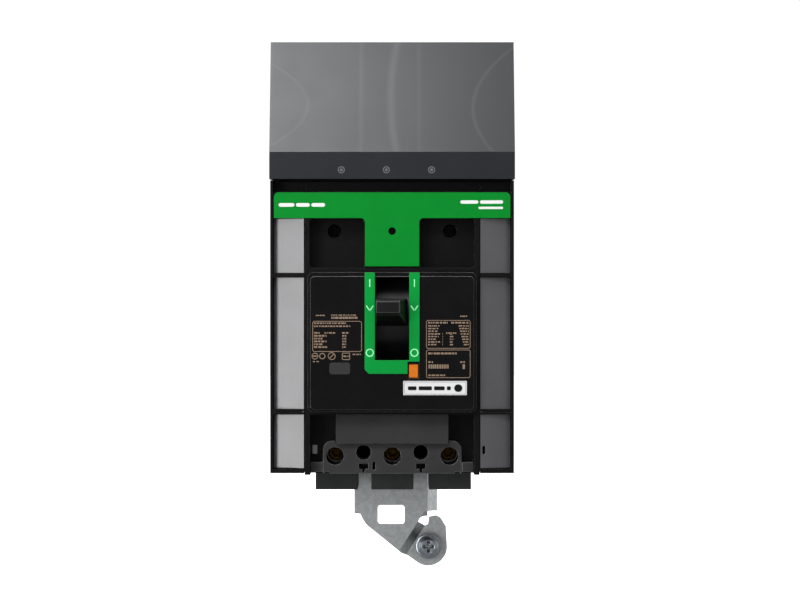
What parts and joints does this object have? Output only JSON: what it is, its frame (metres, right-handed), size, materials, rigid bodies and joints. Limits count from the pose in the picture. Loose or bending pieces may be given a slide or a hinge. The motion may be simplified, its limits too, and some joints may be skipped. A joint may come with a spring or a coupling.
{
  "type": "molded case breaker",
  "caption": "Plug-on molded case circuit breaker with side wings, toggle, push-to-trip button, covered line jaws, load lugs and a steel mounting bracket.",
  "frame": {"origin": "middle of the rear mounting face of the steel bracket, behind the middle of the breaker body", "axes": "+Z toward the line end (up), +Y back into the mounting surface, +X to the right seen from the front"},
  "size_m": [0.1152, 0.11, 0.2565],
  "materials": {
    "black_case": "molded thermoset, fine satin grain",
    "grey_floor": "glossy grey molding",
    "anthracite": "glossy dark grey molding",
    "dark_grey": "satin dark grey molding",
    "green": "satin green molding",
    "orange": "satin orange molding",
    "zinc": "zinc plated steel",
    "steel": "plain steel",
    "copper": "copper, satin",
    "aluminium": "tin plated aluminium",
    "brass": "yellow plated screw"
  },
  "bodies": {
    "case": {"base_case": "black_case", "front_cover": "black_case", "accessory_cover": "black_case", "wing_left": "black_case", "wing_right": "black_case", "jaw_housing": "black_case", "wing_floor_left": "grey_floor", "wing_floor_right": "grey_floor", "plug_on_cover": "anthracite", "load_end_panel": "dark_grey", "terminal_cover": "dark_grey", "lug_housing_a": "dark_grey", "lug_housing_b": "dark_grey", "lug_housing_c": "dark_grey", "toggle_escutcheon": "green", "fascia": "green", "mounting_bracket": "zinc", "pocket_screw_left": "zinc", "pocket_screw_right": "zinc", "fascia_screw": "zinc", "mechanism_frame": "steel", "trip_button_spring": "steel", "bimetal_a": "steel", "magnet_yoke_a": "steel", "arc_chute_a": "steel", "line_jaw_a": "copper", "load_strap_a": "copper", "lug_a": "aluminium", "bimetal_b": "steel", "magnet_yoke_b": "steel", "arc_chute_b": "steel", "line_jaw_b": "copper", "load_strap_b": "copper", "lug_b": "aluminium", "bimetal_c": "steel", "magnet_yoke_c": "steel", "arc_chute_c": "steel", "line_jaw_c": "copper", "load_strap_c": "copper", "lug_c": "aluminium"},
    "toggle": {"toggle_handle": "black_case", "dust_shield": "black_case", "handle_yoke": "steel", "main_spring_left": "steel", "main_spring_right": "steel"},
    "trip_button": {"trip_button": "orange"},
    "trip_bar": {"trip_bar": "dark_grey"},
    "contacts": {"crossbar": "dark_grey", "contact_arm_a": "copper", "contact_arm_b": "copper", "contact_arm_c": "copper"},
    "cradle": {"cradle": "steel"},
    "pan_washer": {"pan_screw_washer": "zinc"},
    "pan_screw": {"pan_screw": "zinc"},
    "clamp_a": {"clamp_pad_a": "brass"},
    "lug_screw_a": {"lug_screw_a": "brass"},
    "clamp_b": {"clamp_pad_b": "brass"},
    "lug_screw_b": {"lug_screw_b": "brass"},
    "clamp_c": {"clamp_pad_c": "brass"},
    "lug_screw_c": {"lug_screw_c": "brass"}
  },
  "joints": [
    {"name": "toggle_swing", "type": "hinge", "parent": "case", "child": "toggle", "pos_m": [0, -0.058, -0.0087], "axis": [-1, 0, 0], "range_deg": [-23, 10]},
    {"name": "trip_push", "type": "slide", "parent": "case", "child": "trip_button", "axis": [0, 1, 0], "range_m": [0, 0.0025], "stiffness_N_per_m": 400},
    {"name": "trip_bar_turn", "type": "hinge", "parent": "case", "child": "trip_bar", "pos_m": [0, -0.052, -0.0475], "axis": [-1, 0, 0], "range_deg": [0, 10]},
    {"name": "contacts_swing", "type": "hinge", "parent": "case", "child": "contacts", "pos_m": [0, -0.027, -0.008], "axis": [-1, 0, 0], "range_deg": [0, 28]},
    {"name": "cradle_swing", "type": "hinge", "parent": "case", "child": "cradle", "pos_m": [0, -0.05225, 0.006], "axis": [-1, 0, 0], "range_deg": [0, 8]},
    {"name": "pan_screw_advance", "type": "slide", "parent": "case", "child": "pan_washer", "axis": [0, 1, 0], "range_m": [0, 0.0036]},
    {"name": "pan_screw_turn", "type": "hinge", "parent": "pan_washer", "child": "pan_screw", "pos_m": [0.018, -0.004, -0.1239], "axis": [0, 1, 0], "continuous": true},
    {"name": "clamp_advance_a", "type": "slide", "parent": "case", "child": "clamp_a", "axis": [0, 1, 0], "range_m": [0, 0.005]},
    {"name": "lug_screw_turn_a", "type": "hinge", "parent": "clamp_a", "child": "lug_screw_a", "pos_m": [-0.027, -0.045, -0.0736], "axis": [0, 1, 0], "range_deg": [0, 1440.5]},
    {"name": "clamp_advance_b", "type": "slide", "parent": "case", "child": "clamp_b", "axis": [0, 1, 0], "range_m": [0, 0.005]},
    {"name": "lug_screw_turn_b", "type": "hinge", "parent": "clamp_b", "child": "lug_screw_b", "pos_m": [0, -0.045, -0.0736], "axis": [0, 1, 0], "range_deg": [0, 1440.5]},
    {"name": "clamp_advance_c", "type": "slide", "parent": "case", "child": "clamp_c", "axis": [0, 1, 0], "range_m": [0, 0.005]},
    {"name": "lug_screw_turn_c", "type": "hinge", "parent": "clamp_c", "child": "lug_screw_c", "pos_m": [0.027, -0.045, -0.0736], "axis": [0, 1, 0], "range_deg": [0, 1440.5]}
  ],
  "couplings": [
    {"joint": "trip_bar_turn", "follows": "trip_push", "rad_per_m": 69.8},
    {"joint": "lug_screw_turn_a", "follows": "clamp_advance_a", "rad_per_m": 5026.5},
    {"joint": "lug_screw_turn_b", "follows": "clamp_advance_b", "rad_per_m": 5026.5},
    {"joint": "lug_screw_turn_c", "follows": "clamp_advance_c", "rad_per_m": 5026.5}
  ]
}
